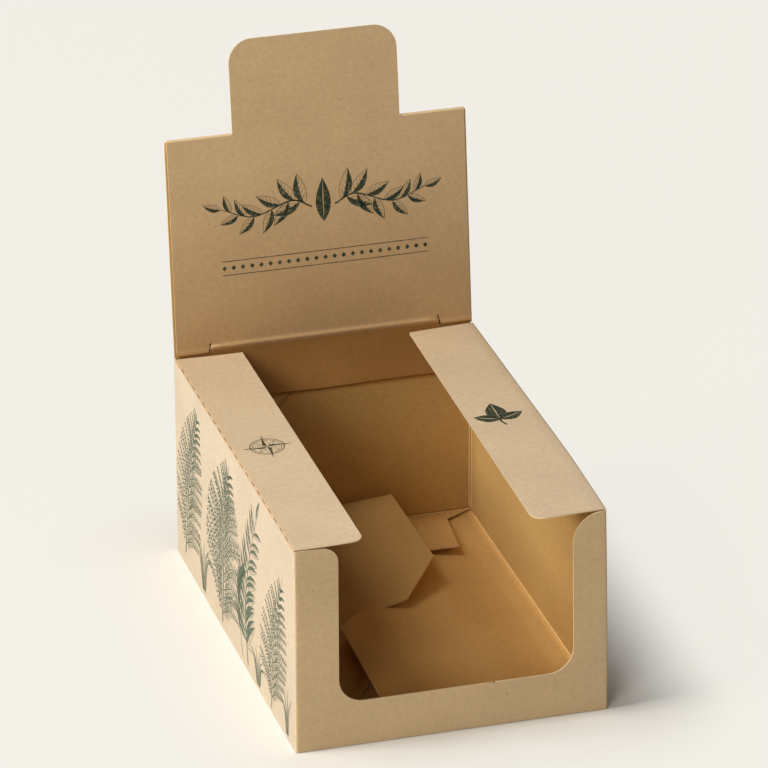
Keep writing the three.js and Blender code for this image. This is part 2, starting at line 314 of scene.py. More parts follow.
def bent_path(corners, radii):
    """A path of straight legs and round bends. Returns a function that gives, for a distance along the
    unrounded legs, the point and the direction; each bend spreads its turn evenly over its tangent lengths."""
    points = np.array(corners, float)
    legs = np.diff(points, axis=0)
    lengths = np.linalg.norm(legs, axis=1)
    stations = np.concatenate([[0], np.cumsum(lengths)])
    headings = np.unwrap(np.arctan2(legs[:, 1], legs[:, 0]))
    turns = np.diff(headings)
    tangents = np.abs(np.asarray(radii) * np.tan(np.abs(turns) / 2))

    def at(distance):
        distance = np.asarray(distance, float)
        leg = np.clip(np.searchsorted(stations, distance, side="right") - 1, 0, len(legs) - 1)
        point = points[leg] + (legs / lengths[:, None])[leg] * (distance - stations[leg])[..., None]
        heading = headings[leg]
        for i, (turn, tangent, radius) in enumerate(zip(turns, tangents, radii)):
            share = (distance - stations[i + 1]) / max(tangent, 1e-9)
            near = np.abs(share) < 1
            side = np.sign(turn)
            angle = headings[i] + turn * (share + 1) / 2
            start = points[i + 1] - legs[i] / lengths[i] * tangent
            pivot = start + radius * side * np.array([-np.sin(headings[i]), np.cos(headings[i])])
            arc = pivot + radius * side * np.stack([np.sin(angle), -np.cos(angle)], -1)
            point = np.where(near[..., None], arc, point)
            heading = np.where(near, angle, heading)
        return point, heading

    return at, stations, tangents


def lines(low, high, step, extras=()):
    """Evenly spaced values from low to high, with extra ones added."""
    return np.unique(np.concatenate([np.linspace(low, high, int(round((high - low) / step)) + 1), *extras]))


# Materials


# Painted shade: the deeper, warmer colour that the stored shade mixes in where shade falls
PAINTED_SHADE_TINT = (0.56, 0.385, 0.19, 1)
RELIEF_DEPTH = 0.0002


def add_node(tree, kind, inputs=None, **settings):
    """Adds a shader node. Each input is a value to set, or another node's output to link from."""
    node = tree.nodes.new("ShaderNode" + kind)
    for name, setting in settings.items():
        setattr(node, name, setting)
    for name, value in (inputs or {}).items():
        if isinstance(value, bpy.types.NodeSocket):
            tree.links.new(value, node.inputs[name])
        else:
            node.inputs[name].default_value = value
    return node


def kraft_group():
    """Board: soft mottling, long fibres, fine dark and pale specks, paler creases, which are partly a painted
    highlight, and painted shade.
    """
    group = bpy.data.node_groups.get("Kraft board") or bpy.data.node_groups.new("Kraft board", "ShaderNodeTree")
    if group.nodes:
        return group
    for name, kind, way in (
        ("Color", "Color", "INPUT"), ("Crease", "Float", "INPUT"), ("Shade", "Float", "INPUT"),
        ("Color", "Color", "OUTPUT"), ("Height", "Float", "OUTPUT"),
    ):
        group.interface.new_socket(name=name, in_out=way, socket_type="NodeSocket" + kind)
    entry = group.nodes.new("NodeGroupInput")
    leave = group.nodes.new("NodeGroupOutput")
    place = add_node(group, "TexCoord").outputs["UV"]

    def noise(scale, detail, stretch=(1, 1, 1), rough=0.5):
        where = add_node(group, "Mapping", {"Scale": stretch, "Vector": place}).outputs[0]
        return add_node(group, "TexNoise", {
            "Scale": scale, "Detail": detail, "Roughness": rough, "Vector": where}).outputs["Fac"]

    def spread(value, low, high, to_low, to_high):
        return add_node(group, "MapRange", {
            "From Min": low, "From Max": high, "To Min": to_low, "To Max": to_high, "Value": value,
        }).outputs["Result"]

    def multiply(a, b):
        return add_node(group, "Math", {0: a, 1: b}, operation="MULTIPLY").outputs[0]

    clouds = spread(noise(3.2, 4.0), 0.3, 0.7, 0.955, 1.045)
    mottle = spread(noise(42.0, 5.0, rough=0.65), 0.3, 0.7, 0.93, 1.07)
    fibres = spread(noise(60.0, 3.0, (1.0, 7.0, 1.0)), 0.35, 0.65, 0.955, 1.045)
    cross = spread(noise(70.0, 3.0, (6.0, 1.0, 1.0)), 0.35, 0.65, 0.97, 1.03)
    dark = spread(noise(85.0, 1.0), 0.70, 0.76, 1.0, 0.72)
    pale = spread(noise(110.0, 1.0, (1.0, 1.6, 1.0)), 0.71, 0.76, 1.0, 1.14)
    level = multiply(multiply(multiply(clouds, mottle), multiply(fibres, cross)), multiply(dark, pale))
    # Creases are paler: partly the pressed board's own colour, partly a painted highlight
    crease = spread(entry.outputs["Crease"], 0.0, 1.0, 1.0, 1.3)
    tint = add_node(group, "VectorMath", {0: entry.outputs["Color"], "Scale": multiply(level, crease)},
                    operation="SCALE")
    # Painted shade: the stored shade multiplies the colour towards a deeper, warmer tint
    deeper = add_node(group, "Mix", {
        "Factor": entry.outputs["Shade"], "A": tint.outputs[0], "B": PAINTED_SHADE_TINT,
    }, data_type="RGBA", blend_type="MULTIPLY")
    group.links.new(deeper.outputs["Result"], leave.inputs["Color"])
    group.links.new(multiply(mottle, fibres), leave.inputs["Height"])
    return group


def matt_material(name, roughness, sheen):
    """A new material, its node tree and its shader. Its roughness and sheen are the same all over."""
    material = bpy.data.materials.new(name)
    material.use_nodes = True
    shader = material.node_tree.nodes["Principled BSDF"]
    shader.inputs["Roughness"].default_value = roughness
    shader.inputs["Specular IOR Level"].default_value = sheen
    return material, material.node_tree, shader


def board_material(name, colour, bump=0.12):
    """Matt kraft board of one colour, made once and then used again."""
    if name in bpy.data.materials:
        return bpy.data.materials[name]
    material, tree, shader = matt_material(name, 0.82, 0.25)
    board = tree.nodes.new("ShaderNodeGroup")
    board.node_tree = kraft_group()
    board.inputs["Color"].default_value = (*colour, 1)
    # The crease paleness, partly a painted highlight, and the painted shade, read from each corner
    for socket in ("Crease", "Shade"):
        stored = add_node(tree, "Attribute", attribute_name=socket.lower())
        tree.links.new(stored.outputs["Fac"], board.inputs[socket])
    relief = add_node(tree, "Bump", {
        "Strength": bump, "Distance": RELIEF_DEPTH, "Height": board.outputs["Height"]})
    tree.links.new(board.outputs["Color"], shader.inputs["Base Color"])
    tree.links.new(relief.outputs["Normal"], shader.inputs["Normal"])
    return material


def ink_material(name, colour):
    """Matt ink that has sunk into the board: three tenths of the board's colour show in uneven patches."""
    material, tree, shader = matt_material(name, 0.7, 0.2)
    place = add_node(tree, "TexCoord").outputs["Object"]
    noise = add_node(tree, "TexNoise", {"Scale": 900.0, "Detail": 3.0, "Vector": place})
    patches = add_node(tree, "MapRange", {"From Min": 0.48, "From Max": 0.72, "Value": noise.outputs["Fac"]})
    worn = [0.7 * c + 0.3 * k for c, k in zip(colour, (0.5, 0.38, 0.22))]
    mix = add_node(tree, "Mix", {
        "Factor": patches.outputs["Result"], "A": (*colour, 1), "B": (*worn, 1)}, data_type="RGBA")
    tree.links.new(mix.outputs["Result"], shader.inputs["Base Color"])
    return material


def board_set(outer="outside", inner="inside"):
    """The three materials of a sheet: outside, inside and cut edge."""
    colours = bpy.context.scene.display_box_colours
    return [
        board_material("kraft_" + outer, getattr(colours, outer)),
        board_material("kraft_" + inner, getattr(colours, inner)),
        board_material("kraft_cut", colours.cut, bump=0.3),
    ]


def seat(piece, body, slot, *nodes):
    """The piece rides on its body and stands for the CAD nodes given. The slot is not used."""
    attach(piece, body)
    if nodes:
        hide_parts(*nodes)


# Walls


GLUE_WIDTH = 0.095
GLUE_FOOT = 0.0025
GLUE_TOP_DROP = 0.0022
GLUE_CHAMFER = (0.032, 0.038)
LEFT_POST_CORNER = 0.0063
RIGHT_POST_CORNER = 0.0128
SILL_CORNER = 0.0105
TEAR_X = 0.0175
TEAR_DEPTH = 0.0013
# Height of the painted shadow band below the tuck flap's edge
TUCK_SHADOW = 0.0675
LEFT_SWELL = 0.0005
RIGHT_SWELL = 0.0006


def wall_path(radius):
    """Path of the walls' outer faces, from the back wall's free end round to the glue panel's free end."""
    right = HALF_WIDTH
    inner_back = BACK_Y - BOARD
    return bent_path(
        [(right - 0.0003, BACK_Y), (-right, BACK_Y), (-right, FRONT_Y), (right, FRONT_Y),
         (right, inner_back), (right - GLUE_WIDTH, inner_back)],
        [radius] * 4)


def wall_place(radius):
    """Puts (u, v), the distance along the walls' path and the height, on the walls' outer face. The left wall
    swells outwards in its middle, the right wall's top bends inwards, and the front right corner leans in."""
    at, stations, _ = wall_path(radius)
    _, left, front, right, glue, _ = stations

    def place(u, v):
        point, heading = at(u)
        out = np.stack([np.sin(heading), -np.cos(heading)], 1)
        high = v / BOX_HEIGHT
        left_bow = np.sin(np.clip((u - left) / (front - left), 0, 1) * np.pi)
        right_bow = np.sin(np.clip((u - right) / (glue - right), 0, 1) * np.pi)
        swell = LEFT_SWELL * left_bow * np.sin(high * np.pi) - RIGHT_SWELL * right_bow * high
        xy = point + out * swell[:, None]
        xy[:, 0] -= corner_lean(point[:, 1] - FRONT_Y, np.clip(point[:, 0] / HALF_WIDTH, 0, 1)) * high ** 1.6
        return np.column_stack([xy, v])

    return place


class BuildWalls(bpy.types.Operator):
    """Four walls and the glue panel, as one sheet that turns round the corners"""

    bl_idname = "display_box.walls"
    bl_label = "Walls"

    def execute(self, context):
        s = context.scene.display_box_sizes
        _, stations, tangents = wall_path(s.fold_radius)
        _, left, front, right, glue, end = stations
        top = BOX_HEIGHT - s.wall_top_drop
        sill = s.sill_height
        window_left = front + s.left_post
        window_right = right - s.right_post
        tear = front + HALF_WIDTH + TEAR_X
        glue_top = top - GLUE_TOP_DROP
        loop = rounded([
            (0.0004, 0.0002), (glue - 0.0008, 0.0002), (glue + 0.0012, GLUE_FOOT), (end, GLUE_FOOT),
            (end, glue_top - GLUE_CHAMFER[1]), (end - GLUE_CHAMFER[0], glue_top), (glue + 0.0012, glue_top),
            (glue - 0.0010, top), (right - 0.0012, top),
            (window_right, top, RIGHT_POST_CORNER), (window_right, sill, SILL_CORNER),
            (tear + 0.0005, sill), (tear, sill - TEAR_DEPTH), (tear - 0.0006, sill),
            (window_left, sill, SILL_CORNER), (window_left, top - 0.0003, LEFT_POST_CORNER),
            (front + 0.0008, top), (left + 0.0012, top), (left - 0.0006, BOX_HEIGHT), (0.0004, BOX_HEIGHT)])
        bends = [c + t * np.linspace(-1, 1, 7) for c, t in zip(stations[1:5], tangents)]
        columns = lines(0, end, 0.005, bends)
        rows = lines(0, BOX_HEIGHT, 0.005, [TUCK_SHADOW + np.linspace(-0.003, 0.003, 9)])

        walls = sheet("walls", loop, columns, rows, wall_place(s.fold_radius), board_set())
        # Painted light: the left wall takes a paler copy of the board
        paint_left_wall(walls, board_material("kraft_pale", context.scene.display_box_colours.pale))
        # Upright corners slightly paler: partly the creased board, partly a painted highlight
        paint(walls, "crease", corner_crease_highlight)
        # Painted shade inside the right wall's front, and a painted shadow below the tuck flap
        paint(walls, "shade", wall_shade)
        seat(walls, "carton", "kraft_board", "carton")
        return {"FINISHED"}


def paint_left_wall(walls, pale):
    """The left wall's outer faces take the pale board: painted light, a paler copy of the board for the lit side.
    """
    mesh = walls.data
    normal = np.zeros(3 * len(mesh.polygons), np.float32)
    slots = np.zeros(len(mesh.polygons), np.int32)
    mesh.polygons.foreach_get("normal", normal)
    mesh.polygons.foreach_get("material_index", slots)
    slots[(slots == OUTSIDE) & (normal[::3] < -0.7)] = len(mesh.materials)
    mesh.materials.append(pale)
    mesh.polygons.foreach_set("material_index", slots)


def wall_shade(x, y, z):
    """Painted shade on the inner faces along the front of the right wall, and a painted shadow below the tuck
    flap's edge.
    """
    inner = np.arange(len(x)) >= len(x) // 2
    near_front = 0.5 * (x > HALF_WIDTH - 0.004) * np.clip(1 - (y - FRONT_Y) / 0.09, 0, 1)
    below_tuck = (y > BACK_Y - 0.004) * np.exp(-(((z - TUCK_SHADOW) / 0.0012) ** 2))
    return inner * (near_front + below_tuck)


def corner_crease_highlight(x, y, z):
    """Slightly paler within about a millimetre of an upright corner: partly the creased board's own colour,
    partly a painted highlight.
    """
    from_side = HALF_WIDTH - np.abs(x)
    from_end = np.minimum(np.abs(y - FRONT_Y), np.abs(BACK_Y - y))
    return 0.2 * np.exp(-((from_side / 0.0012) ** 2)) * np.exp(-((from_end / 0.0012) ** 2))


# Header


FOLD_GAP = 0.00015
FRONT_HALF = HALF_WIDTH - 0.001
CREASE_RISE = 0.0033
TAB_CORNER = 0.010
TAB_FILLET = 0.0012
SLIT_X = FRONT_HALF - 0.0134
SLIT_GAP = 0.0005
FOOT_DROP = 0.0021
TUCK_DROP = CREASE_RISE + 0.0205
TUCK_SWING = 0.00302
CREASE_BLEND = 0.0016


def header_lines(s):
    """Side view of the header as (y, z) points: its rear face starts at rear and goes up to the fold, whose
    centre is fold; its front face goes from crease up over length, leaning back by lean."""
    up = np.array([np.sin(s.header_lean), np.cos(s.header_lean)])
    forward = np.array([-up[1], up[0]])
    rear = np.array([BACK_Y - BOARD / 6, BOX_HEIGHT])
    fold = rear + up * s.header_height + forward * (BOARD + FOLD_GAP)
    crease = np.array([BACK_Y - 2 * BOARD - 2 * FOLD_GAP, BOX_HEIGHT + CREASE_RISE])
    front = fold + forward * FOLD_GAP - crease
    return SimpleNamespace(
        rear=rear, up=up, forward=forward, fold=fold, crease=crease,
        length=np.hypot(*front), lean=np.arctan2(*front))


def front_layer_place(s):
    """Puts (u, v), the distance across and the distance up from the crease, on the header's front face. Below
    the crease it turns down into the tuck flap, but the feet beside the slits stay on the header's slope."""
    side = header_lines(s)
    up = np.array([np.sin(side.lean), np.cos(side.lean)])
    forward = np.array([-up[1], up[0]])

    def place(u, v):
        on_foot = (np.abs(u) > SLIT_X - 0.0011 * (1 + v / 0.004)) & (v > -FOOT_DROP - SLIT_GAP / 2)
        slope = side.crease + up * v[:, None]
        drop = side.crease + np.array([0.0, 1.0]) * v[:, None]
        share = np.clip((v + CREASE_BLEND) / (2 * CREASE_BLEND), 0, 1)[:, None]
        soft = share * share * (3 - 2 * share)
        below = drop + (slope - drop) * soft * 0.5
        spot = np.where(on_foot[:, None] | (v[:, None] > 0), slope, below)
        ridge = 0.0005 * np.exp(-((v / 0.0010) ** 2)) * ~on_foot
        lip = 0.0006 * np.clip(-v / FOOT_DROP, 0, 1) ** 2 * on_foot
        bow = 0.0006 * np.sin(np.clip(v / side.length, 0, 1) * np.pi) * np.cos(u / FRONT_HALF * np.pi / 2)
        outer = spot + forward * (BOARD + ridge + lip + bow)[:, None]
        curl = 0.0010 * np.clip((v - side.length) / s.tab_height, 0, 1) ** 2
        swing = TUCK_SWING * np.clip(-v / TUCK_DROP, 0, 1) ** 2 * (0.8 + 0.2 * np.cos(u / 0.011))
        outer[:, 0] += curl - swing
        return np.column_stack([u, outer])

    return place


class BuildHeader(bpy.types.Operator):
    """Rear layer with the tab's hole and the shoulder folds, and the front layer with tab, feet and tuck flap"""

    bl_idname = "display_box.header"
    bl_label = "Header"

    def execute(self, context):
        s = context.scene.display_box_sizes
        seat(self.rear_layer(s), "carton", "kraft_board")
        seat(self.front_layer(s), "carton", "kraft_board")
        return {"FINISHED"}

    def rear_layer(self, s):
        """Goes up the rear slope and turns over at the shoulders on a half circle."""
        side = header_lines(s)
        radius = BOARD + FOLD_GAP
        height = s.header_height
        turn = np.pi * radius
        half = HALF_WIDTH - 0.0002
        tab = s.tab_width / 2 + 0.0006
        low = height - s.tab_height
        loop = rounded([
            (-half, -0.0006), (half, -0.0006), (half, height - 0.0004), (FRONT_HALF, height + 0.0003),
            (FRONT_HALF, height + turn), (tab, height + turn), (tab, low, TAB_CORNER), (-tab, low, TAB_CORNER),
            (-tab, height + turn), (-FRONT_HALF, height + turn), (-FRONT_HALF, height + 0.0003),
            (-half, height - 0.0004)])
        rows = lines(0, height, 0.006, [height + turn * np.linspace(0, 1, 9)])
        columns = lines(-half, half, 0.006)

        def place(u, v):
            """The outer face looks backwards, so x is minus u."""
            angle = np.clip((v - height) / radius, 0, np.pi)[:, None]
            arc = side.fold + radius * (np.sin(angle) * side.up - np.cos(angle) * side.forward)
            slope = side.rear + side.up * np.minimum(v, height)[:, None]
            bow = 0.0007 * np.sin(np.clip(v / height, 0, 1) * np.pi) * np.cos(u / half * np.pi / 2)
            spot = np.where((v > height)[:, None], arc, slope) - side.forward * bow[:, None]
            return np.column_stack([-u, spot])

        piece = sheet("header_rear_layer", loop, columns, rows, place, board_set())
        # Paler along the fold: partly the pressed board's own colour, partly a painted highlight
        paint(piece, "crease", lambda x, y, z: np.exp(-(((z - side.fold[1]) / 0.0012) ** 2)))
        return piece

    def front_layer(self, s):
        """Comes down the front slope, and between the slits it turns at the crease into the tuck flap."""
        side = header_lines(s)
        length, crease_z = side.length, side.crease[1]
        half, tab, tuck = FRONT_HALF, s.tab_width / 2, FRONT_HALF - 0.003
        left_half = [
            (-half, -FOOT_DROP), (-SLIT_X, -FOOT_DROP, 0.0006), (-SLIT_X + 0.0009, 0.0017),
            (-SLIT_X + 0.0015, 0.0019), (-SLIT_X + 0.0006, -FOOT_DROP - SLIT_GAP, 0.0004),
            (-half + 0.0006, -FOOT_DROP - SLIT_GAP), (-tuck, -TUCK_DROP, 0.005)]
        right_half = [(-corner[0], *corner[1:]) for corner in reversed(left_half)]
        loop = rounded(left_half + right_half + [
            (half, length), (tab, length, TAB_FILLET), (tab, length + s.tab_height, TAB_CORNER),
            (-tab, length + s.tab_height, TAB_CORNER), (-tab, length, TAB_FILLET), (-half, length)], steps=10)
        columns = lines(-half, half, 0.005, [[-SLIT_X, SLIT_X]])
        rows = lines(-TUCK_DROP, length + s.tab_height, 0.005, [np.linspace(-0.004, 0.004, 17)])
        # The header's front takes a darker, warmer copy of the board as painted bounce light
        piece = sheet("header_front_layer", loop, columns, rows, front_layer_place(s), board_set("header"))
        # Painted shade: full on the tuck flap below the crease, and fading out up the header's lower part
        paint(piece, "shade", lambda x, y, z: np.where(
            z < crease_z, 0.25 + 0.75 * np.clip((crease_z - z) / 0.002, 0, 1),
            0.5 * np.clip(1 - (z - crease_z) / 0.075, 0, 1)))
        # Paler along the crease's ridge: partly the pressed board's own colour, partly a painted highlight
        paint(piece, "crease", lambda x, y, z: np.exp(-(((z - crease_z - 0.0003) / 0.0006) ** 2))
              * (np.abs(x) < SLIT_X - 0.001))
        return piece


# Floor


FLOOR_ROOT = 0.010
FLOOR_GAP = 0.0003
HOOK_ROUND = 0.0006


def floor_place(side, slope):
    """Puts (r, q) on a hooked floor flap: r is the reach from its side wall and q the offset towards its hook.
    Its height is nought up to the root, then it grows evenly by slope, with a slight sag in between."""

    def place(r, q):
        beyond = np.maximum(r - FLOOR_ROOT, 0)
        height = slope * (np.sqrt(beyond ** 2 + HOOK_ROUND ** 2) - HOOK_ROUND)
        sag = 0.0004 * np.sin(np.clip(beyond / 0.084, 0, 1) * np.pi)
        return np.column_stack([side * (HALF_WIDTH - r), MIDDLE_Y - side * q, height - sag + BOARD])

    return place


def lock_flap(name, side, slope, tail, throat, corner, tip, far, materials):
    """A hooked floor flap. Tail, throat, corner, tip and far are the (r, q) points of its free edge."""
    end = BOX_DEPTH / 2 - BOARD - FLOOR_GAP
    loop = rounded([
        (0.0004, -end), (0.008, -end), (0.046, -0.052), (tail, -0.030), (tail, throat[1], 0.0015),
        (*throat, 0.003), corner, (*tip, 0.001), (*far, 0.001), (0.070, end - 0.0024), (0.0004, end)], steps=6)
    columns = lines(0, 0.094, 0.004, [FLOOR_ROOT + np.linspace(-0.003, 0.003, 7)])
    rows = lines(-end, end, 0.006)
    return sheet(name, loop, columns, rows, floor_place(side, slope), materials)


def short_flap(name, end, chamfer, materials):
    """A short floor flap from the back wall (end 1) or the front wall (end -1). It rises evenly from a board's
    step above the ground, and its outer corner is cut off by the chamfer."""
    depth, step, rise = 0.043, 0.0009, 0.005
    outer = HALF_WIDTH - BOARD - FLOOR_GAP
    loop = rounded([
        (-0.042, 0.0004), (outer, 0.0004), (outer, BOARD), (outer - chamfer, 0.0090),
        (outer - 0.0176, depth, 0.0008), (-0.012, depth, 0.001)])
    columns = lines(-0.042, outer, 0.006)
    rows = lines(0, depth, 0.004)

    def place(x, d):
        return np.column_stack([
            end * x, MIDDLE_Y + end * (BOX_DEPTH / 2 - d), step + rise * np.clip(d / depth, 0, 1)])

    return sheet(name, loop, columns, rows, place, materials)


class BuildFloor(bpy.types.Operator):
    """The locking floor: two hooked flaps and two short flaps"""

    bl_idname = "display_box.floor"
    bl_label = "Locking floor"

    def execute(self, context):
        # Floor flaps take the brighter copy of the unprinted board as painted light
        colours = board_set("outside", "bottom")
        inner_first = [colours[1], colours[0], colours[2]]
        for piece in (
            lock_flap("left_floor_flap", -1, 0.207, 0.054, (0.0700, -0.0029), (0.0730, -0.0024),
                      (0.0923, 0.0242), (0.0919, 0.0848), inner_first),
            lock_flap("right_floor_flap", 1, 0.188, 0.065, (0.0712, 0.0008), (0.0761, 0.0032),
                      (0.0916, 0.0238), (0.0928, 0.0865), inner_first),
            short_flap("back_floor_flap", 1, 0.0126, colours),
            short_flap("front_floor_flap", -1, 0.0040, colours),
        ):
            # Paler along the hinge crease: partly the pressed board's own colour, partly a painted highlight
            paint(piece, "crease", lambda x, y, z: np.exp(-(((HALF_WIDTH - 0.0006 - np.abs(x)) / 0.0012) ** 2)))
            # Painted shade on the floor flaps, deeper towards the left and near the front wall
            paint(piece, "shade", lambda x, y, z: 0.25 + 0.4 * np.clip((0.03 - x) / 0.07, 0, 1)
                  + 0.35 * np.clip(1 - (y - FRONT_Y) / 0.05, 0, 1))
            seat(piece, "carton", "kraft_board")
        return {"FINISHED"}


RIDGE_RADIUS = 0.00042


def bead(line, radius, seed):
    """A fine closed cord of pressed board along a line: the ridge that a crease raises on its inner side.
    Each ring is an eight-sided circle whose size wavers by a tenth. Returns corners and faces."""
    random = np.random.default_rng(seed)
    steps = max(3, int(np.linalg.norm(np.diff(line, axis=0)) / 0.0015))
    t = np.linspace(0, 1, steps)[:, None]
    path = line[0] + (line[1] - line[0]) * t
    along = (line[1] - line[0]) / np.linalg.norm(line[1] - line[0])
    first = np.cross(along, [0.3, 0.5, 0.81])
    first /= np.linalg.norm(first)
    second = np.cross(along, first)
    sizes = radius * (1 + 0.1 * np.convolve(random.normal(0, 1, steps + 4), np.ones(5) / 5, "valid"))
    turn = np.linspace(0, 2 * np.pi, 8, endpoint=False)
    ring = np.cos(turn)[:, None] * first + np.sin(turn)[:, None] * second
    spots = path[:, None] + ring * sizes[:, None, None]
    i, k = np.meshgrid(np.arange(steps - 1), np.arange(8), indexing="ij")
    ahead = (k + 1) % 8
    quads = np.stack([i * 8 + k, i * 8 + ahead, (i + 1) * 8 + ahead, (i + 1) * 8 + k], -1).reshape(-1, 4)
    ends = [list(range(7, -1, -1)), [(steps - 1) * 8 + k for k in range(8)]]
    return spots.reshape(-1, 3), quads.tolist() + ends


class BuildCreases(bpy.types.Operator):
    """Ridges that the creases raise inside the box, along its bottom edges and up its corners"""

    bl_idname = "display_box.creases"
    bl_label = "Inner creases"

    def execute(self, context):
        x = HALF_WIDTH - BOARD
        front, back, glued = FRONT_Y + BOARD, BACK_Y - BOARD, BACK_Y - 2 * BOARD
        low, top, post = BOARD + 0.0002, BOX_HEIGHT - 0.004, BOX_HEIGHT - 0.012
        runs = [
            ((x, front, low), (x, glued, low)), ((-x, front, low), (-x, back, low)),
            ((-x, front, 0.0014), (x, front, 0.0014)), ((-0.040, glued, 0.0016), (x, glued, 0.0016)),
            ((x - 0.0005, glued, low), (x - 0.0005, glued, top)),
            ((x, glued - 0.0017, low), (x, glued - 0.0017, top)),
            ((-x, back, low), (-x, back, top)), ((-x, front, low), (-x, front, post)),
            ((x - 0.0004, front, low), (x - 0.0012, front, post)),
        ]
        beads = [bead(np.array(run), RIDGE_RADIUS, seed) for seed, run in enumerate(runs)]
        starts = np.cumsum([0] + [len(corners) for corners, _ in beads])
        faces = [[start + n for n in face] for start, (_, quads) in zip(starts, beads) for face in quads]
        spots = np.concatenate([corners for corners, _ in beads])
        mesh = bpy.data.meshes.new("inner_creases")
        mesh.from_pydata(spots.tolist(), [], faces)
        # The ridges are paler: partly pressed board, partly a painted highlight
        mesh.materials.append(board_material("kraft_crease", context.scene.display_box_colours.ridge))
        mesh.polygons.foreach_set("use_smooth", np.ones(len(mesh.polygons), bool))
        set_grain(mesh, np.column_stack([spots[:, 1] + spots[:, 0] * 0.5, spots[:, 2] * 1.3]))
        mesh.update()
        seat(add_object("inner_creases", mesh), "carton", "kraft_board")
        return {"FINISHED"}


# Top flaps


LEFT_FLAP_WIDTH = 0.0285
RIGHT_FLAP_WIDTH = 0.032
FLAP_FRONT = FRONT_Y - MIDDLE_Y
FLAP_BACK = FLAP_BACK_Y - MIDDLE_Y
FLAP_BEND = 0.0010
QUARTER = FLAP_BEND * np.pi / 2
FLAP_ROOT = QUARTER + 0.0008
NOTCH_HALF = 0.0022


def flap_place(side, width):
    """Puts (r, t) on a top flap: r runs inwards from the end of its crease's bend, and t along the crease, to
    the back on the left flap and to the front on the right one. The left flap's free edge curls up a little and
    the right one's droops."""

    def place(r, t):
        y = -side * t
        angle = np.clip(-r / FLAP_BEND, 0, np.pi / 2)
        below = np.clip(-r - QUARTER, 0, None)
        across = np.where(r > 0, FLAP_BEND + r, FLAP_BEND - FLAP_BEND * np.sin(angle))
        height = np.where(r > 0, 0, -FLAP_BEND + FLAP_BEND * np.cos(angle) - below)
        out = np.clip(r / width, 0, 1)
        along = (y - FLAP_FRONT) / (FLAP_BACK - FLAP_FRONT)
        curl = (0.0008 if side < 0 else -0.0005) * out ** 2 * (1.2 - 0.7 * along)
        x = side * (HALF_WIDTH - across) - corner_lean(y - FLAP_FRONT, side > 0) * np.clip(1 - out, 0, 1)
        return np.column_stack([x, MIDDLE_Y + y, BOX_HEIGHT + height + curl])

    return place


def top_flap(name, side, back_width, front_width, corner, pitch):
    """A top flap with its crease: flat across, and its hinge side turns down on a quarter circle to meet the
    wall. Its widths run from the wall's outer face. A pitch above nought cuts notches into the crease."""
    loop = rounded([
        (-FLAP_ROOT, FLAP_FRONT + 0.0006), (front_width - FLAP_BEND, FLAP_FRONT, corner),
        (back_width - FLAP_BEND, FLAP_BACK - 0.0018, 0.0008), (-QUARTER, FLAP_BACK),
        (-FLAP_ROOT, FLAP_BACK - 0.0006)])
    holes = []
    if pitch:
        count = int((BOX_DEPTH - pitch) // pitch)
        near, far = -QUARTER * 0.62, -QUARTER * 0.38
        for i in range(count):
            y = (FLAP_FRONT + FLAP_BACK) / 2 + (i - (count - 1) / 2) * pitch
            low, high = y - NOTCH_HALF, y + NOTCH_HALF
            holes.append(np.array([
                (near, low + 0.0001), (far, low - 0.0001), (far, high + 0.0001), (near, high - 0.0001)]))
    columns = lines(0, 0.025, 0.004, [np.linspace(-FLAP_ROOT, 0, 9)])
    rows = lines(FLAP_FRONT, FLAP_BACK, 0.005)
    if side > 0:
        loop = (loop * [1, -1])[::-1]
        rows = -rows[::-1]
    place = flap_place(side, max(back_width, front_width))
    # The top flaps take a paler copy of the board as painted light
    piece = sheet(name, loop, columns, rows, place, board_set("top"), holes)
    # Painted shade on the crease's bend, and towards the back a painted deeper, warmer tint for the warm light
    # that the header bounces
    paint(piece, "shade", lambda x, y, z: 0.42 * np.exp(-(((HALF_WIDTH - np.abs(x)) / 0.0008) ** 2))
          + 0.2 * np.clip((y + 0.03) / 0.11, 0, 1))
    return piece


class BuildFlaps(bpy.types.Operator):
    """Left top flap with its perforated crease, and right top flap"""

    bl_idname = "display_box.flaps"
    bl_label = "Top flaps"

    def execute(self, context):
        left = top_flap("left_flap_board", -1, LEFT_FLAP_WIDTH, LEFT_FLAP_WIDTH, 0.004, 0.0085)
        right = top_flap("right_flap_board", 1, 0.029, RIGHT_FLAP_WIDTH, 0.006, 0)
        for piece, side, body, node in (
            (left, -1, "left_flap", "left_top_flap"), (right, 1, "right_flap", "right_top_flap"),
        ):
            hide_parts(node)
            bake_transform(piece)
        return {"FINISHED"}


# Print: strokes and patches drawn in millimetres on a face and laid a hair above it


INK_LIFT = 0.00004
TINY_STEP = 0.0002


def curve(points, count=24):
    """A smooth line through a few points, evenly spaced by Catmull-Rom spans."""
    p = np.array(points, float)
    p = np.concatenate([2 * p[:1] - p[1:2], p, 2 * p[-1:] - p[-2:-1]])
    t = np.linspace(0, len(p) - 3 - 1e-9, count)
    i = t.astype(int)
    f = (t - i)[:, None]
    a, b, c, d = p[i], p[i + 1], p[i + 2], p[i + 3]
    return 0.5 * (2 * b + (c - a) * f + (2 * a - 5 * b + 4 * c - d) * f ** 2 + (3 * b - a - 3 * c + d) * f ** 3)


def ribbon(line, start, end=None, middle=None):
    """A stroke along a line, with its width going from start through middle to end. Returns a strip."""
    end = start if end is None else end
    middle = (start + end) / 2 if middle is None else middle
    share = np.linspace(0, 1, len(line))
    width = np.interp(share, [0, 0.5, 1], [start, middle, end])
    along = np.gradient(line, axis=0)
    across = np.stack([-along[:, 1], along[:, 0]], 1) / np.linalg.norm(along, axis=1)[:, None]
    return line + across * width[:, None] / 2, line - across * width[:, None] / 2


def toward(angle):
    """Unit step in a direction."""
    return np.array([np.cos(angle), np.sin(angle)])


